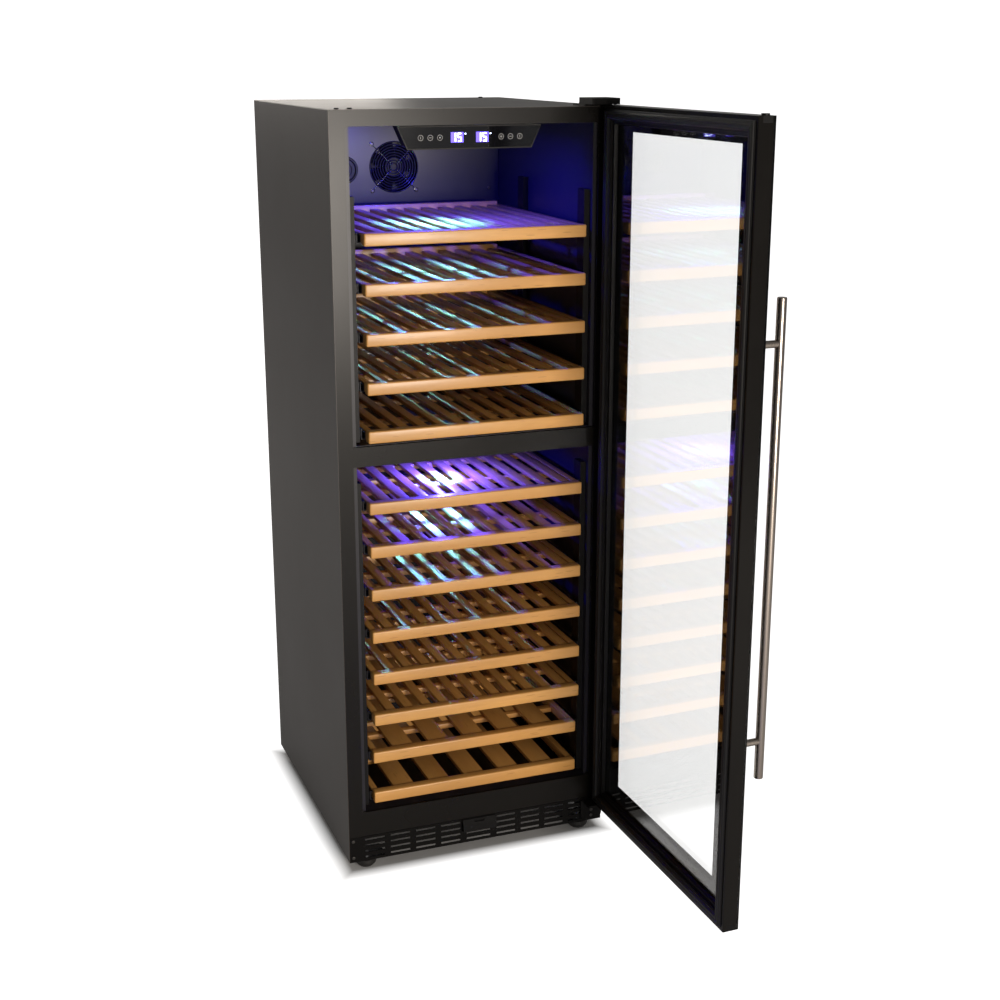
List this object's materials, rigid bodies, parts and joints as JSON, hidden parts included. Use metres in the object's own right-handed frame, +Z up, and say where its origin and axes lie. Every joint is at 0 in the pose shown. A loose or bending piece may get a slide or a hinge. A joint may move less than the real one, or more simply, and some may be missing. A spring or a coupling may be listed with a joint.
{
  "type": "wine cooler",
  "caption": "Tall freestanding wine cooler with an open glass door, bar handle, sliding slatted wooden shelves, touch panel and rear cooling unit.",
  "frame": {"origin": "on the floor, under the middle of the cabinet", "axes": "+Z up, -Y out of the front, +X towards the hinge side"},
  "size_m": [0.6722, 1.2622, 1.6285],
  "materials": {
    "cabinet_paint": "satin",
    "zinc_sheet": "satin",
    "black_paint": "satin",
    "foam": "matte",
    "liner_plastic": "satin",
    "black_plastic": "satin",
    "jamb_plastic": "satin",
    "shelf_wood": "satin",
    "slide_steel": "satin",
    "pin_steel": "polished",
    "screw_steel": "satin",
    "fin_aluminium": "satin",
    "compressor_iron": "satin",
    "panel_glass": "gloss",
    "led": "gloss",
    "door_rim": "satin",
    "door_glass": "gloss",
    "spacer_aluminium": "matte",
    "gasket_rubber": "satin",
    "handle_steel": "satin",
    "foot_rubber": "matte",
    "inlet_plastic": "satin"
  },
  "bodies": {
    "cabinet": {"outer_shell": "cabinet_paint", "back_panel": "zinc_sheet", "base_frame": "zinc_sheet", "bottom_panel": "zinc_sheet", "front_frame": "jamb_plastic", "insulation_foam": "foam", "upper_liner": "liner_plastic", "lower_liner": "liner_plastic", "zone_divider": "liner_plastic", "kick_grille": "black_paint", "lock_keeper": "black_plastic", "top_hinge_bracket": "black_paint", "bottom_hinge_bracket": "black_paint", "hinge_pins": "pin_steel", "upright_strips": "black_plastic", "slide_channels": "slide_steel", "upper_duct_cover": "liner_plastic", "lower_duct_cover": "liner_plastic", "fan_frames": "black_plastic", "fan_guards": "black_paint", "carbon_filters": "black_plastic", "evaporators": "fin_aluminium", "control_housing": "black_plastic", "control_glass": "panel_glass", "led_lamps": "led", "compressor": "compressor_iron", "condenser": "fin_aluminium", "drain_tray": "black_plastic", "power_box": "black_plastic", "mains_inlet": "inlet_plastic", "cabinet_screws": "screw_steel"},
    "door": {"door_frame": "door_rim", "hinge_bushes": "black_plastic", "outer_glass": "door_glass", "inner_glass": "door_glass", "glass_spacer": "spacer_aluminium", "inner_frame": "black_plastic", "door_gasket": "gasket_rubber", "handle_bar": "handle_steel", "handle_posts": "handle_steel"},
    "upper_fan_rotor": {"upper_fan_rotor": "black_plastic"},
    "lower_fan_rotor": {"lower_fan_rotor": "black_plastic"},
    "condenser_fan_rotor": {"condenser_fan_rotor": "black_plastic"},
    "foot_front_left": {"foot_front_left": "foot_rubber"},
    "foot_front_right": {"foot_front_right": "foot_rubber"},
    "foot_rear_left": {"foot_rear_left": "foot_rubber"},
    "foot_rear_right": {"foot_rear_right": "foot_rubber"},
    "shelf_upper_1": {"shelf_upper_1": "shelf_wood"},
    "shelf_upper_2": {"shelf_upper_2": "shelf_wood"},
    "shelf_upper_3": {"shelf_upper_3": "shelf_wood"},
    "shelf_upper_4": {"shelf_upper_4": "shelf_wood"},
    "shelf_upper_5": {"shelf_upper_5": "shelf_wood"},
    "shelf_lower_1": {"shelf_lower_1": "shelf_wood"},
    "shelf_lower_2": {"shelf_lower_2": "shelf_wood"},
    "shelf_lower_3": {"shelf_lower_3": "shelf_wood"},
    "shelf_lower_4": {"shelf_lower_4": "shelf_wood"},
    "shelf_lower_5": {"shelf_lower_5": "shelf_wood"},
    "shelf_lower_6": {"shelf_lower_6": "shelf_wood"},
    "shelf_lower_7": {"shelf_lower_7": "shelf_wood"},
    "shelf_lower_8": {"shelf_lower_8": "shelf_wood"}
  },
  "joints": [
    {"name": "door_hinge", "type": "hinge", "parent": "cabinet", "child": "door", "pos_m": [0.288, -0.35, 0], "axis": [0, 0, 1], "range_deg": [-91, 24]},
    {"name": "shelf_upper_1_slide", "type": "slide", "parent": "cabinet", "child": "shelf_upper_1", "axis": [0, -1, 0], "range_m": [0, 0.3]},
    {"name": "shelf_upper_2_slide", "type": "slide", "parent": "cabinet", "child": "shelf_upper_2", "axis": [0, -1, 0], "range_m": [0, 0.3]},
    {"name": "shelf_upper_3_slide", "type": "slide", "parent": "cabinet", "child": "shelf_upper_3", "axis": [0, -1, 0], "range_m": [0, 0.3]},
    {"name": "shelf_upper_4_slide", "type": "slide", "parent": "cabinet", "child": "shelf_upper_4", "axis": [0, -1, 0], "range_m": [0, 0.3]},
    {"name": "shelf_upper_5_slide", "type": "slide", "parent": "cabinet", "child": "shelf_upper_5", "axis": [0, -1, 0], "range_m": [0, 0.3]},
    {"name": "shelf_lower_1_slide", "type": "slide", "parent": "cabinet", "child": "shelf_lower_1", "axis": [0, -1, 0], "range_m": [0, 0.3]},
    {"name": "shelf_lower_2_slide", "type": "slide", "parent": "cabinet", "child": "shelf_lower_2", "axis": [0, -1, 0], "range_m": [0, 0.3]},
    {"name": "shelf_lower_3_slide", "type": "slide", "parent": "cabinet", "child": "shelf_lower_3", "axis": [0, -1, 0], "range_m": [0, 0.3]},
    {"name": "shelf_lower_4_slide", "type": "slide", "parent": "cabinet", "child": "shelf_lower_4", "axis": [0, -1, 0], "range_m": [0, 0.3]},
    {"name": "shelf_lower_5_slide", "type": "slide", "parent": "cabinet", "child": "shelf_lower_5", "axis": [0, -1, 0], "range_m": [0, 0.3]},
    {"name": "shelf_lower_6_slide", "type": "slide", "parent": "cabinet", "child": "shelf_lower_6", "axis": [0, -1, 0], "range_m": [0, 0.3]},
    {"name": "shelf_lower_7_slide", "type": "slide", "parent": "cabinet", "child": "shelf_lower_7", "axis": [0, -1, 0], "range_m": [0, 0.3]},
    {"name": "shelf_lower_8_slide", "type": "slide", "parent": "cabinet", "child": "shelf_lower_8", "axis": [0, -1, 0], "range_m": [0, 0.3]},
    {"name": "upper_fan_spin", "type": "hinge", "parent": "cabinet", "child": "upper_fan_rotor", "pos_m": [0, 0.229, 1.462], "axis": [0, 1, 0], "continuous": true},
    {"name": "lower_fan_spin", "type": "hinge", "parent": "cabinet", "child": "lower_fan_rotor", "pos_m": [0, 0.229, 0.79], "axis": [0, 1, 0], "continuous": true},
    {"name": "condenser_fan_spin", "type": "hinge", "parent": "cabinet", "child": "condenser_fan_rotor", "pos_m": [-0.15, 0.225, 0.114], "axis": [0, 1, 0], "continuous": true},
    {"name": "foot_front_left_turn", "type": "hinge", "parent": "cabinet", "child": "foot_front_left", "pos_m": [-0.253, -0.295, 0], "axis": [0, 0, 1], "range_deg": [-1080, 1080]},
    {"name": "foot_front_right_turn", "type": "hinge", "parent": "cabinet", "child": "foot_front_right", "pos_m": [0.253, -0.295, 0], "axis": [0, 0, 1], "range_deg": [-1080, 1080]},
    {"name": "foot_rear_left_turn", "type": "hinge", "parent": "cabinet", "child": "foot_rear_left", "pos_m": [-0.253, 0.285, 0], "axis": [0, 0, 1], "range_deg": [-1080, 1080]},
    {"name": "foot_rear_right_turn", "type": "hinge", "parent": "cabinet", "child": "foot_rear_right", "pos_m": [0.253, 0.285, 0], "axis": [0, 0, 1], "range_deg": [-1080, 1080]}
  ]
}
